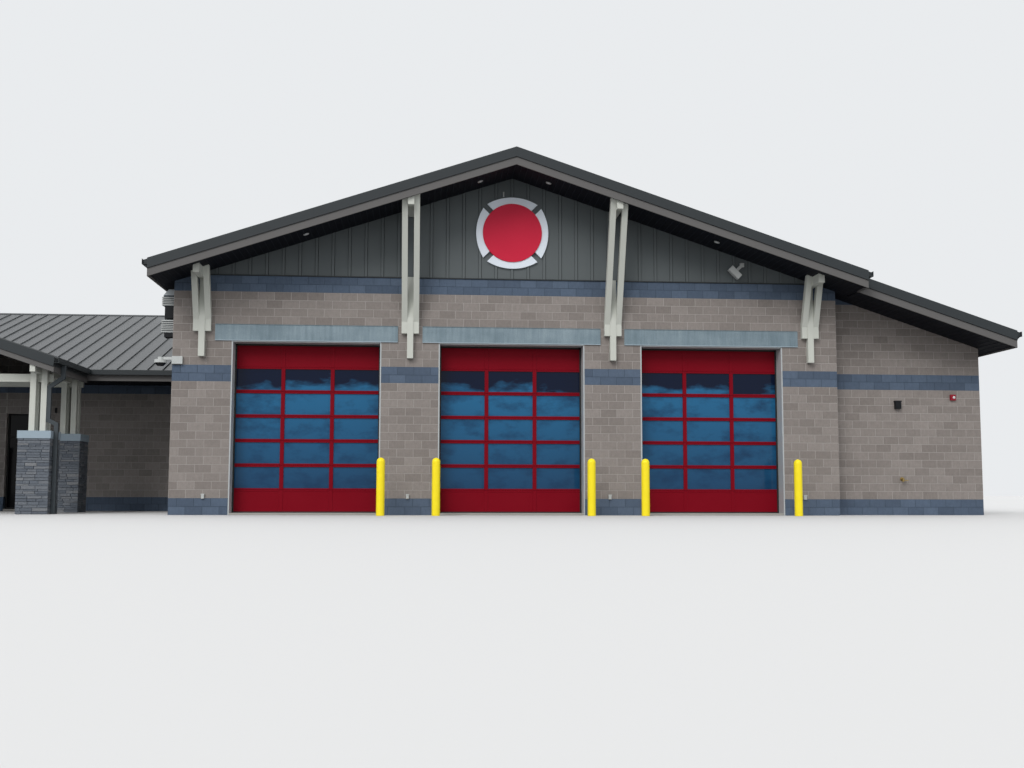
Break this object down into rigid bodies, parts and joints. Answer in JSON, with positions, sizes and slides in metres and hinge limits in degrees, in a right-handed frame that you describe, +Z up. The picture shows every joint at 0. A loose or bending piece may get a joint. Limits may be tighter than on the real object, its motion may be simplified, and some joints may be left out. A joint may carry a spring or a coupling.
{
  "type": "fire station building",
  "caption": "Gabled three-bay fire station hall in banded concrete block with timber brackets, a lean-to wing, and a low wing with covered walk and porch.",
  "frame": {"origin": "ground level on the outer face of the hall's front wall, straight below the ridge", "axes": "+X along the front to the right as seen by someone facing it, +Y into the building, +Z up"},
  "size_m": [33.732, 23.12, 8.9148],
  "materials": {
    "block": "split-face concrete block, taupe with darker slate bands",
    "metal_roof": "standing-seam metal, dark charcoal",
    "dark_trim": "pre-finished metal, dark charcoal",
    "fascia": "painted board, warm grey",
    "soffit": "ribbed vented panel, dark",
    "siding": "painted board and batten, dark grey-brown",
    "lintel": "weathered galvanised steel, streaked",
    "frame_steel": "painted steel, light grey",
    "door_red": "baked enamel, dark red",
    "glass": "clear glazing, dark inside",
    "timber": "painted timber, pale sage",
    "sign_red": "painted aluminium, red",
    "sign_white": "painted aluminium, off-white",
    "stone": "stacked ledge stone",
    "stone_cap": "cast stone, pale",
    "concrete": "trowelled concrete",
    "bollard_yellow": "safety yellow sleeve",
    "fitting_dark": "painted, black",
    "fitting_pale": "painted, pale grey",
    "alarm_red": "moulded red plastic",
    "brass": "weathered brass",
    "bronze_frame": "dark bronze anodised"
  },
  "bodies": {
    "root": {"front_piers": "block", "front_head_wall": "block", "lintels": "lintel", "hall_side_walls": "block", "hall_rear_wall": "block", "gable_walls": "siding", "hall_floor": "concrete", "hall_roof_left": "metal_roof", "hall_roof_right": "metal_roof", "right_wing_roof": "metal_roof", "left_wing_roof": "metal_roof", "porch_roof": "metal_roof", "ridge_caps": "dark_trim", "rake_trims": "dark_trim", "rake_fascias": "fascia", "eave_fascias": "fascia", "gable_soffits": "soffit", "eave_soffits": "soffit", "wing_soffits": "soffit", "gutter_backs": "dark_trim", "gutter_soles": "dark_trim", "gutter_fronts": "dark_trim", "door_frames": "frame_steel", "bay_door_left": "door_red", "bay_door_middle": "door_red", "bay_door_right": "door_red", "bay_door_glass": "glass", "bracket_posts": "timber", "bracket_beams": "timber", "bracket_braces": "timber", "sign_disc": "sign_red", "sign_ring": "sign_white", "soffit_downlights": "fitting_pale", "gable_floodlight": "fitting_pale", "pier_outlets": "fitting_pale", "wing_wall_light": "fitting_dark", "alarm_horn": "alarm_red", "hose_bibb": "brass", "side_wall_vents": "fitting_pale", "bollards": "bollard_yellow", "right_wing_end_walls": "block", "right_wing_side_wall": "block", "wing_floors": "concrete", "left_wing_front_walls": "block", "left_wing_entry_head": "block", "left_wing_end_wall": "block", "left_wing_rear_wall": "block", "entrance_screen": "bronze_frame", "entrance_glass": "glass", "porch_piers": "stone", "porch_pier_caps": "stone_cap", "porch_posts": "timber", "porch_tie_beams": "timber", "porch_side_beams": "timber", "porch_downspouts": "dark_trim", "side_wall_vent_bases": "fitting_dark", "corner_camera": "fitting_pale", "corner_camera_dome": "fitting_dark"}
  },
  "joints": []
}
